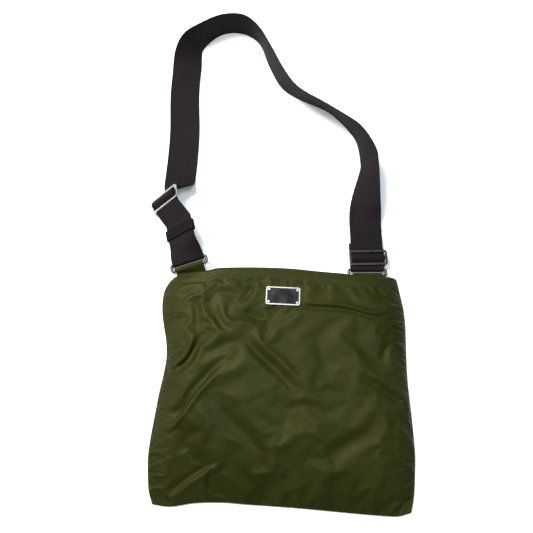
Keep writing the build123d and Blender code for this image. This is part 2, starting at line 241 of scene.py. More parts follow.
def enamel():
    """The plaque's glossy dark field, a little worn."""
    n = Nodes("black_enamel")
    at = n.add("TexCoord").outputs["Object"]
    speck = n.noise(at, 420.0, 2.0)
    worn = n.noise(at, 90.0, 4.0)
    color = n.mix(n.ramp(worn, 0.0, 0.6, 0.4, 0.7), (0.012, 0.012, 0.013, 1), (0.028, 0.028, 0.030, 1))
    return n.set(color=color, rough=n.ramp(worn, 0.14, 0.26, 0.35, 0.7), specular=0.25,
                 normal=n.bump(speck, 0.08, 0.0002))


def plain_cloth(name, dark, light, pitch):
    """Plain-woven lining or zip tape."""
    n = Nodes(name)
    at = n.add("TexCoord").outputs["Object"]
    xyz = n.add("SeparateXYZ", {"Vector": at})
    weave = n.math("MULTIPLY", wave(n, xyz.outputs[0], pitch), wave(n, xyz.outputs[1], pitch))
    cloud = n.noise(at, 30.0, 4.0)
    color = n.mix(n.ramp(cloud, 0.0, 1.0, 0.3, 0.7), (*dark, 1), (*light, 1))
    return n.set(color=color, rough=0.75, sheen=0.1, normal=n.bump(weave, 0.3, 0.0002))


def thread_material():
    n = Nodes("olive_thread")
    at = n.add("TexCoord").outputs["Object"]
    twist = n.noise(at, 1500.0, 2.0)
    color = n.mix(twist, (0.040, 0.044, 0.014, 1), (0.066, 0.070, 0.026, 1))
    return n.set(color=color, rough=0.6, sheen=0.05, normal=n.bump(twist, 0.3, 0.0001))


def floor_material():
    n = Nodes("studio_floor")
    at = n.add("TexCoord").outputs["Object"]
    cloud = n.noise(at, 3.0, 3.0)
    color = n.mix(cloud, (0.86, 0.86, 0.86, 1), (0.89, 0.89, 0.89, 1))
    n.put(n.shader.inputs["Emission Color"], (1, 1, 1, 1))
    n.put(n.shader.inputs["Emission Strength"], 0.15)
    return n.set(color=color, rough=0.9, specular=0.1)


def moulded():
    """The keeper's dark moulded loop, finely pebbled."""
    n = Nodes("black_moulding")
    at = n.add("TexCoord").outputs["Object"]
    pebble = n.noise(at, 900.0, 3.0)
    worn = n.noise(at, 120.0, 4.0)
    color = n.mix(n.ramp(worn, 0.0, 0.7, 0.4, 0.7), (0.0042, 0.0038, 0.0026, 1), (0.0080, 0.0073, 0.0052, 1))
    return n.set(color=color, rough=n.ramp(worn, 0.42, 0.56, 0.35, 0.7), specular=0.05,
                 normal=n.bump(pebble, 0.12, 0.00015))


OLIVE = nylon("olive_nylon", (0.0145, 0.0152, 0.0026), (0.0205, 0.0213, 0.0046),
              (0.0275, 0.0285, 0.0080), 0.46)
OLIVE_BAND = nylon("olive_nylon_hem", (0.0150, 0.0157, 0.0030), (0.0208, 0.0217, 0.0050),
                   (0.0280, 0.0292, 0.0086), 0.52)
WEB = webbing_cloth("charcoal_webbing")
LINING = plain_cloth("dark_lining", (0.020, 0.021, 0.012), (0.032, 0.034, 0.020), 0.0006)
TAPE = plain_cloth("zip_tape", (0.022, 0.025, 0.009), (0.034, 0.037, 0.015), 0.0008)
TEETH = metal("dark_teeth", (0.10, 0.10, 0.09), 0.38)
STEEL = metal("bright_plate", (0.60, 0.60, 0.58), 0.24)
NICKEL = metal("plaque_plate", (0.42, 0.42, 0.40), 0.30)
GUNMETAL = metal("gunmetal_plate", (0.060, 0.056, 0.050), 0.26)
ENAMEL = enamel()
MOULDED = moulded()
THREAD = thread_material()


# ---------------------------------------------------------------- the bag's skin

BOTTOM, TOP = -126.0, 122.0
HEIGHT = TOP - BOTTOM
# The bag's outline in millimetres: the side edges as (y, x), the mouth and the bottom as (x, y).
LEFT = [(-134, -124), (-128, -127), (-116, -131.3), (-89, -135), (-71, -134.9), (-52, -133.6),
        (-23, -131.2), (0, -128.4), (19, -127.4), (37, -130), (54, -134.5), (73, -138.3), (91, -138.5),
        (104, -134), (113, -127.5), (126, -125)]
RIGHT = [(-134, 132), (-128, 135.5), (-116, 138.5), (-103, 140.2), (-76, 142), (-58, 141.6), (-30, 139.8),
         (0, 137.4), (27, 136.6), (61, 136.8), (76, 136.2), (90, 134.7), (104, 131.8), (113, 130.2),
         (118, 129.2), (126, 127.5)]
UPPER = [(-136, 108), (-127, 111.2), (-114, 113.8), (-94, 116.1), (-89, 116.6), (-84, 118.0), (-74, 120.2),
         (-35, 122.6), (3, 123.1), (31, 121.6), (49, 120.7), (65, 120.1), (75, 118.7), (84, 118.8),
         (95, 119.4), (112, 120.4), (119, 121.2), (125, 121.4), (129, 119.8), (132, 116.5), (136, 108)]
LOWER = [(-136, -130), (-122, -132), (-106, -132.8), (-82, -128.4), (-54, -126.6), (-30, -127.2),
         (-7, -127.5), (22, -128.1), (49, -129.1), (75, -130.1), (105, -131), (121, -130.9),
         (130, -128.8), (138, -126)]
SEAM_HEIGHT = 1.6
CROWN = 19.6  # how far the filled front stands off its seams


def curve(points):
    """A smooth function through (at, value) points."""
    run = through(points, 12)
    return lambda a: np.interp(a, run[:, 0], run[:, 1])


left_at, right_at, upper_at, lower_at = (curve(c) for c in (LEFT, RIGHT, UPPER, LOWER))


def smooth(t):
    """0 to 1 with a soft start and end."""
    t = np.clip(t, 0, 1)
    return t * t * (3 - 2 * t)


def place(u, v):
    """x and y of a point of the skin: u runs left to right, v bottom to top."""
    y = BOTTOM + v * HEIGHT
    for _ in range(4):
        x = left_at(y) * (1 - u) + right_at(y) * u
        y = lower_at(x) * (1 - v) + upper_at(x) * v
    return x, y


def base_height(u, v):
    """The filled shape with no folds, as the CAD panel has it but softer at its sides."""
    side = 1 - np.abs(2 * u - 1) ** 7
    return SEAM_HEIGHT + CROWN * (1 - (1 - v) ** 5.5) * (1 - 0.23 * v ** 3) * side


def along(x, y, line):
    """Distance to a smooth line, which side of it (+ is the left), and how far along it, from 0 to 1."""
    run = through(line, 10)
    best = np.full(x.shape, 1e9)
    sign = np.zeros(x.shape)
    part = np.zeros(x.shape)
    lengths = np.concatenate([[0], np.cumsum(np.hypot(*np.diff(run, axis=0).T))])
    for (ax, ay), (bx, by), s in zip(run, run[1:], lengths):
        dx, dy = bx - ax, by - ay
        size = hypot(dx, dy)
        t = np.clip(((x - ax) * dx + (y - ay) * dy) / size ** 2, 0, 1)
        ex, ey = x - ax - t * dx, y - ay - t * dy
        d = np.hypot(ex, ey)
        near = d < best
        best = np.where(near, d, best)
        sign = np.where(near, np.sign(dx * ey - dy * ex), sign)
        part = np.where(near, (s + t * size) / lengths[-1], part)
    return best, sign, part


def fold(x, y, line, wide, high, kind):
    """Height that one fold adds: a ridge, or a tuck that is high on its line's left and low on its right."""
    d, sign, part = along(x, y, line)
    taper = 0.3
    ends = smooth(part / taper) * smooth((1 - part) / taper)
    q = d / wide
    if kind == "ridge":
        shape = np.exp(-q * q)
    else:
        shape = sign * q * np.exp(-q * q) * 2.33
    return high * ends * shape


# Each fold: kind, width, height (below 0 is a valley), and the points that it runs through, in millimetres.
FOLDS = [
    ("tuck", 5.0, -2.6, [(-93, 48), (-96, 30), (-104, 13), (-121, 0)]),
    ("ridge", 1.8, -2.4, [(-95, 42), (-97, 27), (-105, 12), (-120, 1)]),
    ("ridge", 1.5, -1.2, [(-107, 44), (-107, 26), (-118, 8)]),
    ("ridge", 5.0, 1.8, [(-122, 50), (-108, 47), (-102, 36), (-110, 17)]),
    ("ridge", 5.0, -2.0, [(-100, 86), (-96, 66), (-94, 42)]),
    ("tuck", 5.5, 2.5, [(-60, 14), (-88, -17), (-100, -37), (-118, -61)]),
    ("ridge", 1.8, -2.6, [(-72, 2), (-90, -20), (-101, -37), (-114, -57)]),
    ("ridge", 7.0, 2.0, [(-56, 4), (-80, -25), (-90, -45), (-104, -66)]),
    ("ridge", 5.0, 2.2, [(-92, 76), (-80, 57), (-66, 40), (-60, 30)]),
    ("ridge", 4.0, -1.6, [(-78, 70), (-63, 43)]),
    ("ridge", 4.0, 1.6, [(-71, 84), (-64, 62), (-52, 50)]),
    ("ridge", 4.5, 2.0, [(-27, 108), (-33, 90), (-43, 75), (-47, 64)]),
    ("ridge", 4.0, -2.0, [(-35, 108), (-40, 92), (-50, 80)]),
    ("ridge", 5.5, -2.2, [(-44, 72), (-32, 63), (-24, 56)]),
    ("ridge", 4.5, 2.2, [(-34, 50), (-22, 37), (-10, 44), (-3, 62)]),
    ("ridge", 6.0, -1.8, [(-20, 82), (-12, 72), (-10, 60)]),
    ("tuck", 7.0, 1.8, [(-38, 38), (-12, 18), (4, 4), (18, -11)]),
    ("tuck", 3.6, 1.5, [(0, 83), (28, 81), (67, 79), (97, 73), (114, 77), (129, 86)]),
    ("ridge", 2.4, 0.9, [(2, 83), (30, 81), (67, 79), (97, 73), (114, 77), (129, 86)]),
    ("ridge", 6.0, 1.2, [(22, 96), (57, 93), (90, 88), (124, 101)]),
    ("ridge", 10.0, -1.8, [(77, 66), (86, 38), (112, 8)]),
    ("ridge", 4.0, 1.8, [(126, 58), (117, 40), (118, 25), (132, 22)]),
    ("ridge", 4.0, -1.4, [(124, 48), (111, 34), (110, 20)]),
    ("tuck", 6.0, 2.0, [(86, 6), (106, -3), (133, -18)]),
    ("ridge", 5.0, -1.5, [(100, -10), (114, -14), (132, -28)]),
    ("ridge", 5.0, -1.0, [(40, -8), (59, -14), (80, -24)]),
    ("ridge", 9.0, -2.6, [(46, -79), (77, -62), (108, -50)]),
    ("ridge", 9.0, 1.6, [(38, -108), (49, -92), (80, -77)]),
    ("tuck", 5.0, -2.6, [(-112, -126), (-91, -109), (-75, -98), (-55, -89)]),
    ("ridge", 4.0, 1.6, [(-110, -120), (-90, -104), (-74, -94), (-52, -86)]),
    ("ridge", 3.0, -2.0, [(-67, -96), (-69, -106), (-68, -120)]),
    ("ridge", 9.0, -1.8, [(-62, -42), (-34, -61), (-14, -66)]),
    ("ridge", 7.0, 1.4, [(-64, -38), (-72, -48), (-80, -68), (-92, -96)]),
    ("ridge", 12.0, 1.4, [(-16, -74), (20, -62), (52, -44)]),
    ("ridge", 14.0, -1.2, [(30, 60), (52, 34), (64, 6)]),
    ("ridge", 5.0, 1.2, [(-118, -96), (-104, -88), (-86, -84)]),
]


def waves(x, y, count, shortest, longest, high):
    """Low, wide unevenness: a fixed set of sine waves in all directions."""
    total = np.zeros(np.shape(x))
    for _ in range(count):
        a, length, phase = rng.uniform(0, pi), rng.uniform(shortest, longest), rng.uniform(0, 2 * pi)
        total += np.sin((x * cos(a) + y * sin(a)) * 2 * pi / length + phase)
    return high * total / count ** 0.5


def puckers(x, y, edge, inward, low, high, skip):
    """Short creases that the seam's gathering makes, running in from a side edge."""
    total = np.zeros(x.shape)
    d = (x - edge(y)) * inward
    at = low
    while at < high:
        reach, lean = rng.uniform(7, 20), rng.uniform(-0.55, 0.55)
        tall, wide = rng.uniform(0.5, 1.3), rng.uniform(1.3, 2.4)
        if rng.uniform() > skip:
            cross = (y - at - lean * d) / wide
            total += tall * np.exp(-cross * cross) * np.exp(-(d / reach) ** 2) * smooth(d / 2.5 + 0.25)
            cross = (y - at - wide * 1.7 - lean * d) / (wide * 0.8)
            total -= 0.7 * tall * np.exp(-cross * cross) * np.exp(-(d / reach) ** 2) * smooth(d / 2.5 + 0.25)
        at += rng.uniform(4.5, 8.5)
    return total


PLAQUE_LOW, PLAQUE_HIGH = (Vector(c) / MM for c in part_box("plaque_plate"))
PLAQUE_MID = (PLAQUE_LOW + PLAQUE_HIGH) / 2
BAND = 12.5  # depth of the hem at the mouth
STITCH_IN = 1.6  # how far the hem's lower row of stitches is above its edge


def skin_height(u, v):
    """Height of the front skin: the filled shape, its folds, unevenness and puckers, and the hem."""
    x, y = place(u, v)
    z = base_height(u, v)
    extra = np.zeros(x.shape)
    for kind, wide, high, line in FOLDS:
        soft = kind == "ridge" and high > 0
        extra += fold(x, y, line, wide * (1.35 if soft else 1), high * (0.6 if soft else 0.8), kind)
    extra += waves(x, y, 9, 55, 110, 0.55)
    extra += waves(x, y, 12, 18, 40, 0.16)
    extra += puckers(x, y, left_at, 1, -118, 100, 0.15)
    extra += puckers(x, y, right_at, -1, -120, 98, 0.05)
    from_top = upper_at(x) - y
    from_side = np.minimum(x - left_at(y), right_at(y) - x)
    # The folds die out at the seams, under the hem and round the plaque.
    extra *= smooth(from_side / 5) * smooth((y - lower_at(x)) / 6)
    extra *= 0.12 + 0.88 * smooth((from_top - BAND + 2) / 9)
    off = np.hypot(np.maximum(np.abs(x - PLAQUE_MID.x) - 19, 0),
                   np.maximum(np.abs(y - PLAQUE_MID.y) - 10.5, 0))
    extra *= smooth(off / 7)
    # The hem is a double layer: a little proud, with a line of stitching pressed in near its lower edge.
    hem = 0.55 * smooth((BAND - from_top) / 1.2 + 0.5)
    stitch = -0.45 * np.exp(-((from_top - BAND + STITCH_IN) / 1.1) ** 2)
    bead = -0.8 * np.exp(-(from_top / 1.0) ** 2)
    return z + extra + (hem + stitch + bead) * smooth(from_side / 3)


def skin_grid(columns, rows):
    """Points of the front skin as arrays of x, y and z, closer together at the side seams and the bottom."""
    across = np.cos(pi * np.linspace(0, 1, columns))
    us = 0.5 - 0.5 * across * (0.35 + 0.65 * np.abs(across) ** 0.2)
    vs = np.linspace(0, 1, rows) ** 1.12
    u, v = np.meshgrid(us, vs)
    x, y = place(u, v)
    return x, y, skin_height(u, v)


def finer_field(field, rows, columns):
    """A grid of values spread over more rows and columns with a smooth cubic."""
    for count in (rows, columns):
        at = np.linspace(0, field.shape[0] - 1, count)
        k = np.clip(at.astype(int), 0, field.shape[0] - 2)
        t = (at - k)[:, None]
        p, q, r, s = (field[np.clip(k + i, 0, field.shape[0] - 1)] for i in (-1, 0, 1, 2))
        field = 0.5 * (2 * q + (r - p) * t + (2 * p - 5 * q + 4 * r - s) * t * t
                       + (3 * q - p - 3 * r + s) * t ** 3)
        field = field.T
    return field


# The cloth simulation: how hard the skin is held in place away from its seams, its bending stiffness, how
# much too large it is, the number of frames, and the furthest that a point may move in millimetres.
HOLD, BEND, FULLNESS, FRAMES, LIMIT = 0.08, 3.0, 0.011, 16, 5.0


def relax(columns, rows):
    """How far the cloth simulation moves each point of the skin, which its seams, hem and plaque hold."""
    x, y, z = skin_grid(columns, rows)
    shape = np.stack([x, y, z], -1)
    obj = add_mesh("skin_cloth", shape.reshape(-1, 3), grid_faces(rows, columns), None)
    edge = np.minimum(np.minimum(x - left_at(y), right_at(y) - x), y - lower_at(x))
    mouth = upper_at(x) - y
    off = np.maximum(np.abs(x - PLAQUE_MID.x) - 20, np.abs(y - PLAQUE_MID.y) - 11.5)
    free = np.minimum(np.minimum(edge / 1.5, (mouth - BAND) / 3), off / 2.5)
    weight = np.where(free <= 0.3, 1.0, HOLD)
    group = obj.vertex_groups.new(name="held")
    for index, w in enumerate(weight.ravel()):
        group.add([index], float(w), "REPLACE")
    cloth = modifier(obj, "CLOTH")
    c = cloth.settings
    c.quality, c.mass = 6, 0.12
    c.tension_stiffness = c.compression_stiffness = 12
    c.shear_stiffness, c.bending_stiffness = 4, BEND
    c.vertex_group_mass, c.pin_stiffness = "held", 1.0
    c.shrink_min = c.shrink_max = -FULLNESS
    c.effector_weights.gravity = 0
    cloth.collision_settings.use_collision = False
    cloth.point_cache.frame_start, cloth.point_cache.frame_end = 1, FRAMES
    scene = bpy.context.scene
    for number in range(1, FRAMES + 1):
        scene.frame_set(number)
    moved = obj.evaluated_get(bpy.context.evaluated_depsgraph_get()).to_mesh()
    at = np.zeros(len(moved.vertices) * 3)
    moved.vertices.foreach_get("co", at)
    shift = at.reshape(rows, columns, 3) / MM - shape
    obj.modifiers.clear()
    bpy.data.objects.remove(obj)
    scene.frame_set(1)
    size = np.linalg.norm(shift, axis=-1, keepdims=True)
    return shift * np.minimum(1, LIMIT / np.maximum(size, 1e-9))


SKIN_COLUMNS, SKIN_ROWS = 270, 250
SKIN = skin_grid(SKIN_COLUMNS, SKIN_ROWS)
shift = relax(136, 126)
SKIN = [c + finer_field(shift[..., k], SKIN_ROWS, SKIN_COLUMNS) for k, c in enumerate(SKIN)]


def front_panel():
    """The front skin, with the hem at its mouth."""
    points = np.stack(SKIN, -1).reshape(-1, 3)
    obj = add_mesh("bag_front", points, grid_faces(SKIN_ROWS, SKIN_COLUMNS), OLIVE)
    modifier(obj, "SOLIDIFY", thickness=0.9 * MM, offset=-1.0)
    apply_modifiers(obj)
    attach(obj, "bag")
    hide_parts("front_panel")


# ---------------------------------------------------------------- the strap's route, as the CAD model has it

WEB_W, WEB_T, GAP = 38.0, 1.5, 0.3
TAB_W, TAB_T, TAB_LENGTH = 34.0, 1.2, 56.0
RING_H, WIRE_R, BAR = 8.0, 1.5, 2.2
SLIDE_H, SLIDE_T = 18.0, 1.8
HINGE_Y, HINGE_Z = 122.8, 6.2
BACK_TOP = 1.5  # top of the back panel and the gap above it
LAYER = (WEB_T + GAP) / 2 + 0.1  # half the distance between the two layers of the doubled strap
BAR_TURN = WIRE_R + GAP + WEB_T / 2  # radius of the webbing's middle round a ring's bar
UNDER = SLIDE_T / 2 + 0.25 + WEB_T / 2  # height of the webbing's middle over or under a slide's bar


class Lay:
    """A local frame: x across the strap to the right, y along it, z out of its face."""

    def __init__(self, x, y, z, yaw, roll, pitch=0):
        self.at = Vector((x, y, z))
        yaw, roll, pitch = radians(yaw), radians(roll), radians(pitch)
        self.x = Vector((cos(yaw) * cos(roll), sin(yaw) * cos(roll), sin(roll)))
        level = Vector((-sin(yaw), cos(yaw), 0))
        self.y = level * cos(pitch) + self.x.cross(level) * sin(pitch)
        self.z = self.x.cross(self.y)

    def point(self, x, y, z):
        return self.at + self.x * x + self.y * y + self.z * z

    def moved(self, at):
        """The same local frame at another place."""
        other = Lay(0, 0, 0, 0, 0)
        other.at, other.x, other.y, other.z = at, self.x, self.y, self.z
        return other


LEFT_RING = Lay(-111, HINGE_Y, 6.8, 18, 10)  # at the ring's lower bar
RIGHT_RING = Lay(94.5, HINGE_Y - 0.5, 5.4, 3, 0)
LEFT_SLIDE = Lay(-147.5, 203, 17.6, 20, 40, -10)  # at the slide's centre bar
RIGHT_SLIDE = Lay(95.2, 143.4, 9.2, 4, 0)
KEEPER = Lay(-125, 164, 15.8, 16, 36)
# Where the strap drops from the slide to the floor
RISE = [Lay(-142, 217.5, 11.0, 12, 31), Lay(-134.4, 224, 6.9, 7, 18), Lay(-134.6, 229.5, 3.6, 4, 8),
        Lay(-134.5, 234.5, 1.6, 4, 2)]

# The strap's centre line over the floor: x, y, heading in degrees, and roll, where 0 lies flat and
# 90 stands on its inner edge.
LOOP = [
    (-134.5, 240, 94, 0), (-134.5, 272, 91, 0), (-136, 310, 93, 0), (-141, 360, 95, 0), (-142, 398, 90, 2),
    (-139, 428, 80, 38), (-126, 445, 57, 76), (-99, 466, 24, 92), (-70, 468, -18, 93), (-48, 451, -54, 95),
    (-32, 418, -69, 87), (-14, 383, -48, 88), (8, 361, -26, 104), (43, 342, -36, 111), (67, 322, -53, 103),
    (84, 303, -68, 90), (95, 275, -90, 70), (96, 258, -99, 62), (93, 221, -102, 34), (93, 196, -91, 6),
    (94, 178, -87, 0),
]


def in_lay(lay, y, z, slope, x=0.0):
    """A station at (y, z) of a local frame: centre, direction across, direction along."""
    return lay.point(x, y, z), lay.x, lay.y * cos(radians(slope)) + lay.z * sin(radians(slope))


def turn(lay, y, z, radius, start, end, steps, x=0.0):
    """Stations round a bar at (y, z) of a local frame, from one angle to another."""
    way = 1 if end > start else -1
    angles = [start + (end - start) * k / steps for k in range(steps + 1)]
    return [in_lay(lay, y + radius * cos(radians(a)), z + radius * sin(radians(a)), a + 90 * way, x)
            for a in angles]


def flip(stations):
    """The same stations with their direction along reversed."""
    return [(c, a, -d) for c, a, d in stations]


def blend_lay(a, b, t):
    """A local frame part of the way from one to another."""
    s = t * t * (3 - 2 * t)
    lay = Lay(0, 0, 0, 0, 0)
    lay.at = a.at + (b.at - a.at) * t
    lay.x = (a.x + (b.x - a.x) * s).normalized()
    lay.z = (a.z + (b.z - a.z) * s).normalized()
    lay.y = lay.z.cross(lay.x).normalized()
    return lay


def left_foot(z_ring, z_slide, upward):
    """One layer of the doubled strap between the left ring and the left slide."""
    bar = LEFT_RING.moved(LEFT_RING.point(0, RING_H, 0))
    half = KEEPER.y * 13
    low, high = KEEPER.moved(KEEPER.at - half), KEEPER.moved(KEEPER.at + half)
    slide = LEFT_SLIDE.moved(LEFT_SLIDE.point(0, -SLIDE_H / 2 - 1, 0))
    flat = LAYER if z_ring > 0 else -LAYER
    run = [in_lay(blend_lay(bar, low, t), 0, z_ring + (flat - z_ring) * t, 0) for t in (0.25, 0.5, 0.75)]
    run += [in_lay(blend_lay(low, high, t), 0, flat, 0) for t in (0, 0.5, 1)]
    run += [in_lay(blend_lay(high, slide, t), 0, flat + (z_slide - flat) * t, 0)
            for t in (0.25, 0.5, 0.75, 1)]
    return run if upward else run[::-1]


def loop_stations():
    """Stations along the part that lies on the floor, some of it standing on its edge."""
    stations = []
    run = through(LOOP, 4)
    for k, (x, y, heading, roll) in enumerate(run):
        heading, roll = radians(heading), radians(roll)
        across = Vector((sin(heading) * cos(roll), -cos(heading) * cos(roll), -sin(roll)))
        z = WEB_T / 2 * abs(cos(roll)) + WEB_W / 2 * abs(sin(roll))
        before, after = run[max(k - 1, 0)], run[min(k + 1, len(run) - 1)]
        way = Vector((after[0] - before[0], after[1] - before[1], 0)).normalized()
        stations.append((Vector((x, y, z)), across, way))
    return stations


def strap_stations():
    """The whole strap, from its sewn end at the left slide to the tail under the right ring."""
    loop_z = hypot(BAR / 2, SLIDE_T / 2) + GAP + WEB_T / 2
    deep = UNDER + WEB_T + GAP
    edge = SLIDE_H / 2 - BAR / 2
    over = loop_z + WEB_T + GAP + 0.1
    # The sewn end goes round the slide's centre bar and runs down the back to the ring.
    path = turn(LEFT_SLIDE, 0, 0, loop_z, 100, -80, 8)
    path += [in_lay(LEFT_SLIDE, -5.5, -deep + 0.9, 205), in_lay(LEFT_SLIDE, -edge, -deep, 180)]
    path += flip(left_foot(-BAR_TURN, -deep, False))
    # Round the ring's upper bar, and up the front to the slide.
    path += turn(LEFT_RING, RING_H, 0, BAR_TURN, 270, 90, 8)
    path += left_foot(BAR_TURN, -UNDER, True)
    # Under the lower bar, over the centre bar and the sewn end, under the upper bar, down to the floor.
    path += [in_lay(LEFT_SLIDE, *s) for s in (
        (-edge + 1.3, -UNDER + 0.1, 20), (-4.5, 1.0, 50), (-2.0, over - 0.5, 25), (0.0, over, 0),
        (2.0, over - 0.5, -25), (4.5, 1.0, -50), (edge - 1.3, -UNDER + 0.1, -20),
        (edge + 2, -UNDER - 0.4, -14))]
    path += [in_lay(lay, 0, 0, slope) for lay, slope in zip(RISE, (-34, -32, -24, -10))]
    path += loop_stations()
    # Through the right slide, then round the ring and back as a tail. The strap travels downwards here, so
    # its direction across is reversed.
    down = [in_lay(RIGHT_SLIDE, *s) for s in (
        (edge + 8, -UNDER - 3.0, 200), (edge + 1.5, -UNDER, 180), (edge - 1.4, -UNDER + 0.2, 165),
        (3.0, UNDER - 0.9, 145), (1.0, UNDER, 180), (-1.0, UNDER, 180), (-3.0, UNDER - 0.9, 215),
        (-edge + 1.4, -UNDER + 0.2, 195), (-edge - 1.3, -UNDER, 180))]
    down += turn(RIGHT_RING, RING_H, 0, BAR_TURN, 90, 270, 8)
    down += [in_lay(RIGHT_RING, RING_H + y, -BAR_TURN - drop, slope)
             for y, drop, slope in ((6, 0, -1), (20, 0.6, -3), (34, 1.5, -4))]
    return path + [(centre, -across, way) for centre, across, way in down]


def finer(stations, step):
    """Points, directions across and distances along a smooth curve through the stations."""
    points, sides = [], []
    for (p, a, d), (q, b, e) in zip(stations, stations[1:]):
        size = (q - p).length
        count = max(2, int(size / step + 0.5))
        for k in range(count):
            t = k / count
            h = (2 * t ** 3 - 3 * t * t + 1, t ** 3 - 2 * t * t + t, 3 * t * t - 2 * t ** 3, t ** 3 - t * t)
            points.append(p * h[0] + d * (size * h[1]) + q * h[2] + e * (size * h[3]))
            sides.append(a.lerp(b, h[2]).normalized())
    points.append(stations[-1][0])
    sides.append(stations[-1][1])
    points, sides = np.array(points), np.array(sides)
    lengths = np.concatenate([[0], np.cumsum(np.linalg.norm(np.diff(points, axis=0), axis=1))])
    return points, sides, lengths


def ribbon(name, stations, wide, thick, material, step=2.5):
    """A band of cloth: its section has rounded, slightly thicker edges. The UV map holds millimetres."""
    lip = 0.06
    points, sides, lengths = finer(stations, step)
    ways = np.gradient(points, axis=0)
    ways /= np.linalg.norm(ways, axis=1)[:, None]
    ups = np.cross(sides, ways)
    ups /= np.linalg.norm(ups, axis=1)[:, None]
    half = wide / 2
    k = min(1.0, wide / 12)
    offsets = [-half, -half + 0.25 * k, -half + 0.9 * k, -half + 2.0 * k, -half * 0.66, -half * 0.33, 0]
    heights = [thick * k for k in (0.20, 0.42, 0.5 + lip, 0.46, 0.45, 0.45, 0.45)]
    top = [(o, h) for o, h in zip(offsets, heights)]
    top += [(-o, h) for o, h in reversed(top[:-1])]
    section = top + [(o, -h) for o, h in reversed(top)]
    rows = [points + sides * o + ups * h for o, h in section]
    grid = np.stack(rows, 1).reshape(-1, 3)
    count = len(section)
    faces = grid_faces(len(points), count, wrap=True)
    for base in (0, (len(points) - 1) * count):
        for k in range(count // 2 - 1):
            face = (base + k, base + k + 1, base + count - 2 - k, base + count - 1 - k)
            faces.append(face if base else face[::-1])
    obj = add_mesh(name, grid, faces, material)
    uv = obj.data.uv_layers.new(name="web")
    across = np.tile([o for o, _ in section], len(points))
    along_at = np.repeat(lengths, count)
    corner = np.zeros(len(obj.data.loops), int)
    obj.data.loops.foreach_get("vertex_index", corner)
    uv.data.foreach_set("uv", np.stack([across[corner], along_at[corner]], 1).ravel())
    return obj


def strap():
    """The webbing, in one piece."""
    obj = ribbon("strap_band", strap_stations(), WEB_W - 0.2, WEB_T - 0.1, WEB)
    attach(obj, "strap")
    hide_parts("strap_webbing")


def tab(name, lay, x, shift, node):
    """The short loop of bag cloth round a ring's lower bar."""
    radius = WIRE_R + GAP + TAB_T / 2 + 0.45
    half = (TAB_T + GAP) / 2
    root = Lay(x, HINGE_Y - 20, BACK_TOP + TAB_T + GAP / 2, 0, 0)
    neck = root.moved(root.at + Vector((0, 12, 0)))
    path = [in_lay(root, 0, -half, 0), in_lay(neck, 0, -half, 0)]
    path += turn(lay, 0, 0, radius, 270, 470, 9, shift)
    path += [in_lay(neck, 0, half, 180), in_lay(root, 0, half, 180)]
    obj = ribbon(name, path, TAB_W - 0.3, TAB_T - 0.15, OLIVE_BAND, step=1.5)
    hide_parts(node)
    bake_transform(obj)


# ---------------------------------------------------------------- stitches

def stitches(name, runs, body):
    """Rows of thread: each run is a list of points with the direction out of the cloth."""
    pitch, long, radius = 2.9, 2.1, 0.24
    points, faces = [], []
    ring = 6
    for run in runs:
        spots = np.array([p for p, _ in run], float)
        outs = np.array([o for _, o in run], float)
        lengths = np.concatenate([[0], np.cumsum(np.linalg.norm(np.diff(spots, axis=0), axis=1))])
        at = pitch / 2
        while at + long < lengths[-1]:
            ends = [np.array([np.interp(a, lengths, spots[:, k]) for k in range(3)])
                    for a in (at, at + long)]
            out = np.array([np.interp(at, lengths, outs[:, k]) for k in range(3)])
            way = (ends[1] - ends[0]) / np.linalg.norm(ends[1] - ends[0])
            side = np.cross(way, out)
            side /= np.linalg.norm(side)
            out = np.cross(side, way)
            base = len(points)
            for t, size in ((0, 0.35), (0.15, 0.9), (0.5, 1.0), (0.85, 0.9), (1, 0.35)):
                mid = ends[0] + (ends[1] - ends[0]) * t + out * (0.1 + 0.12 * sin(pi * t))
                for k in range(ring):
                    a = 2 * pi * k / ring
                    points.append(mid + (side * cos(a) + out * sin(a)) * radius * size)
            faces += [tuple(base + i for i in f) for f in grid_faces(5, ring, wrap=True)]
            faces.append(tuple(base + k for k in range(ring))[::-1])
            faces.append(tuple(base + 4 * ring + k for k in range(ring)))
            at += pitch
    obj = add_mesh(name, points, faces, THREAD)
    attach(obj, body)


def hem_stitches():
    """A row along the lower edge of the hem, and one near the mouth."""
    runs = []
    for depth in (BAND - STITCH_IN, 2.4):
        xs = np.linspace(-121, 122, 200)
        ys = upper_at(xs) - depth
        runs.append([((x, y, height_at(x, y) + 0.12), (0, 0, 1)) for x, y in zip(xs, ys)])
    stitches("hem_stitches", runs, "bag")


def height_at(x, y):
    """Height of the front skin over a place, from the nearest points of its grid."""
    d = ((SKIN[0] - x) ** 2 + (SKIN[1] - y) ** 2).ravel()
    near = np.argpartition(d, 4)[:4]
    share = 1 / (d[near] + 0.01)
    return float((SKIN[2].ravel()[near] * share).sum() / share.sum())


# ---------------------------------------------------------------- the bag's other cloth

def sheet_piece(name, x, y, z, thick, material, node):
    """A sheet of cloth from a grid of points on its upper face."""
    rows, columns = x.shape
    obj = add_mesh(name, np.stack([x, y, z], -1).reshape(-1, 3), grid_faces(rows, columns), material)
    modifier(obj, "SOLIDIFY", thickness=thick * MM, offset=-1.0)
    apply_modifiers(obj)
    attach(obj, "bag")
    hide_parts(node)


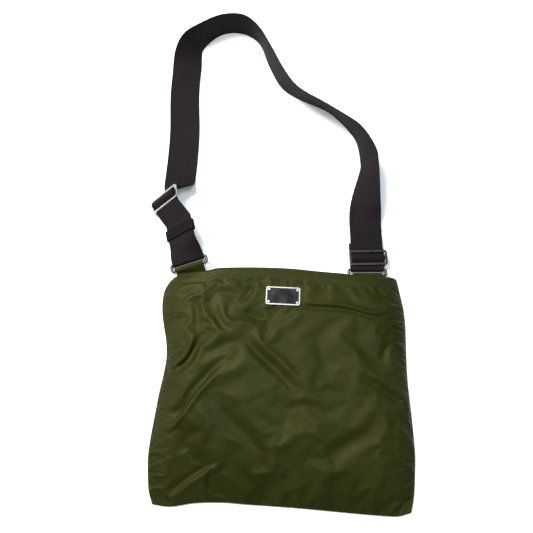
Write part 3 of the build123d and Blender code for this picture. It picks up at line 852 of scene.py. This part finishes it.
def back_panel():
    """The back, which lies on the floor."""
    u, v = np.meshgrid(np.linspace(0, 1, 150), np.linspace(0, 1, 140))
    x, y = place(u, v)
    edge = np.minimum(np.minimum(x - left_at(y), right_at(y) - x), y - lower_at(x))
    soft = 0.35 + waves(x, y, 8, 40, 110, 0.16) + waves(x, y, 8, 14, 30, 0.05)
    z = 0.95 + np.clip(soft, 0, 1.2) * smooth(edge / 6) + 0.5 * np.exp(-(edge / 2.0) ** 2)
    sheet_piece("bag_back", x, y, z, 0.9, OLIVE, "back_panel")


def inside_sheets():
    """Facings at the mouth and linings below them."""
    us = np.linspace(0.07, 0.93, 90)
    u, v = np.meshgrid(us, np.linspace(0.9, 0.998, 16))
    x, y = place(u, v)
    sheet_piece("front_facing_cloth", x, y, skin_height(u, v) - 1.25, 0.8, OLIVE_BAND,
                "front_facing")
    u, v = np.meshgrid(us, np.linspace(0.885, 0.985, 14))
    x, y = place(u, v)
    z = 5.2 + waves(x, y, 5, 40, 90, 0.15)
    sheet_piece("back_facing_cloth", x, y, z, 0.8, OLIVE_BAND, "back_facing")
    u, v = np.meshgrid(np.linspace(0.08, 0.92, 80), np.linspace(0.08, 0.87, 70))
    x, y = place(u, v)
    sheet_piece("front_lining_cloth", x, y, skin_height(u, v) - 3.0, 0.5, LINING,
                "front_lining")
    u, v = np.meshgrid(np.linspace(0.06, 0.94, 60), np.linspace(0.06, 0.87, 50))
    x, y = place(u, v)
    sheet_piece("back_lining_cloth", x, y, 2.45 + waves(x, y, 5, 40, 90, 0.06), 0.5, LINING,
                "back_lining")


TAPE_T, SEAM_TAPE_W, SEAM_IN = 0.8, 2.6, 4.5
# Half the CAD panel's width at each height
half_width = curve([(-126, 128), (-112, 133), (-76, 136), (-20, 131), (50, 130), (126, 130)])


def band_piece(path, wide, thick, node):
    """A narrow tape that stands for one of the frame's nodes."""
    obj = ribbon(node + "_cloth", path, wide, thick, TAPE)
    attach(obj, "bag")
    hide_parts(node)


def tapes():
    """The zip's two tapes, on edge, and the binding inside the side and bottom seams."""
    for node in ("zip_tape_back", "zip_tape_front"):
        low, high = (Vector(c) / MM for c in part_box(node))
        mid = (low + high) / 2
        path = [(Vector((x, mid.y, mid.z)), Vector((0, 0, 1)), Vector((1, 0, 0)))
                for x in np.linspace(low.x, high.x, 21)]
        band_piece(path, high.z - low.z, TAPE_T, node)
    for node, side in (("left_seam_tape", -1), ("right_seam_tape", 1)):
        low, high = (Vector(c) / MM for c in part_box(node))
        path = [(Vector((side * (half_width(y) - SEAM_IN), y, (low.z + high.z) / 2)), Vector((1, 0, 0)),
                 Vector((0, 1, 0))) for y in np.linspace(low.y, high.y, 19)]
        band_piece(path, SEAM_TAPE_W, high.z - low.z, node)
    low, high = (Vector(c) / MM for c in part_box("bottom_seam_tape"))
    path = [(Vector((x, lower_at(x) + SEAM_IN + 2.5, low.z)), Vector((0, -1, 0)), Vector((1, 0, 0)))
            for x in np.linspace(low.x, high.x, 41)]
    band_piece(path, high.y - low.y, high.z - low.z, "bottom_seam_tape")


# ---------------------------------------------------------------- camera, light and floor

def camera():
    """High above the lower part of the bag, looking down at its mouth."""
    data = bpy.data.cameras.new("camera")
    data.lens, data.sensor_width = 37.8, 36.0
    obj = bpy.data.objects.new("camera", data)
    at = Vector((-0.0114, -0.0937, 0.6155))
    target = Vector((-0.0224, 0.1301, 0.0))
    back = (at - target).normalized()
    right = Vector((0.9988, 0.0488, 0.0))
    right = (right - back * right.dot(back)).normalized()
    up = back.cross(right)
    obj.matrix_world = Matrix.Translation(at) @ Matrix((right, up, back)).transposed().to_4x4()
    bpy.context.scene.collection.objects.link(obj)
    bpy.context.scene.camera = obj


def area_light(name, at, target, size, power, color):
    data = bpy.data.lights.new(name, "AREA")
    data.shape, data.size, data.size_y = "RECTANGLE", size, size
    data.energy, data.color = power, color
    obj = bpy.data.objects.new(name, data)
    obj.location = at
    obj.rotation_mode = "QUATERNION"
    obj.rotation_quaternion = (Vector(target) - Vector(at)).to_track_quat("-Z", "Y")
    bpy.context.scene.collection.objects.link(obj)


def stage():
    """A white floor, a dim sky and three soft lights."""
    side = 3.0
    floor = add_mesh("floor", [(x / MM, y / MM, -0.15) for x in (-side, side) for y in (-side, side)],
                     [(0, 2, 3, 1)], floor_material(), False)
    world = bpy.data.worlds.new("studio")
    world.use_nodes = True
    sky = world.node_tree.nodes["Background"]
    sky.inputs["Color"].default_value = (0.90, 0.95, 1.0, 1)
    sky.inputs["Strength"].default_value = 0.22
    bpy.context.scene.world = world
    bpy.context.scene.view_settings.view_transform = "Standard"
    area_light("key", (-0.64, 0.66, 1.3), (0.0, 0.05, 0), 0.6, 36, (1.0, 0.98, 0.94))
    area_light("overhead", (0.27, 0.18, 1.4), (0.0, 0.15, 0), 0.5, 9, (0.78, 0.92, 1.0))
    area_light("side", (-1.35, 0.05, 0.75), (-0.05, 0.1, 0), 0.8, 9, (1.0, 0.90, 0.78))


# ---------------------------------------------------------------- build

stage()
camera()
front_panel()
back_panel()
inside_sheets()
tapes()
hem_stitches()
strap()
tab("left_tab_cloth", LEFT_RING, -108.5, -0.5, "left_tab")
tab("right_tab_cloth", RIGHT_RING, 94.5, 0, "right_tab")
FINISHES = {"left_ring": GUNMETAL, "right_ring": GUNMETAL, "left_slide": STEEL, "right_slide": GUNMETAL,
            "keeper_loop": MOULDED, "zip_teeth_front": TEETH, "zip_teeth_back": TEETH, "zip_stops": STEEL,
            "zip_slider": NICKEL, "zip_pull": NICKEL, "plaque_plate": NICKEL, "plaque_rivets": NICKEL,
            "plaque_washers": NICKEL, "plaque_enamel": ENAMEL}
for name, obj in NODES.items():
    obj.data.materials.clear()
    obj.data.materials.append(FINISHES.get(name, TAPE))
for name in ("left_slide", "right_slide", "keeper_loop"):
    modifier(NODES[name], "BEVEL", width=0.35 * MM, segments=2, limit_method="ANGLE", angle_limit=radians(40))
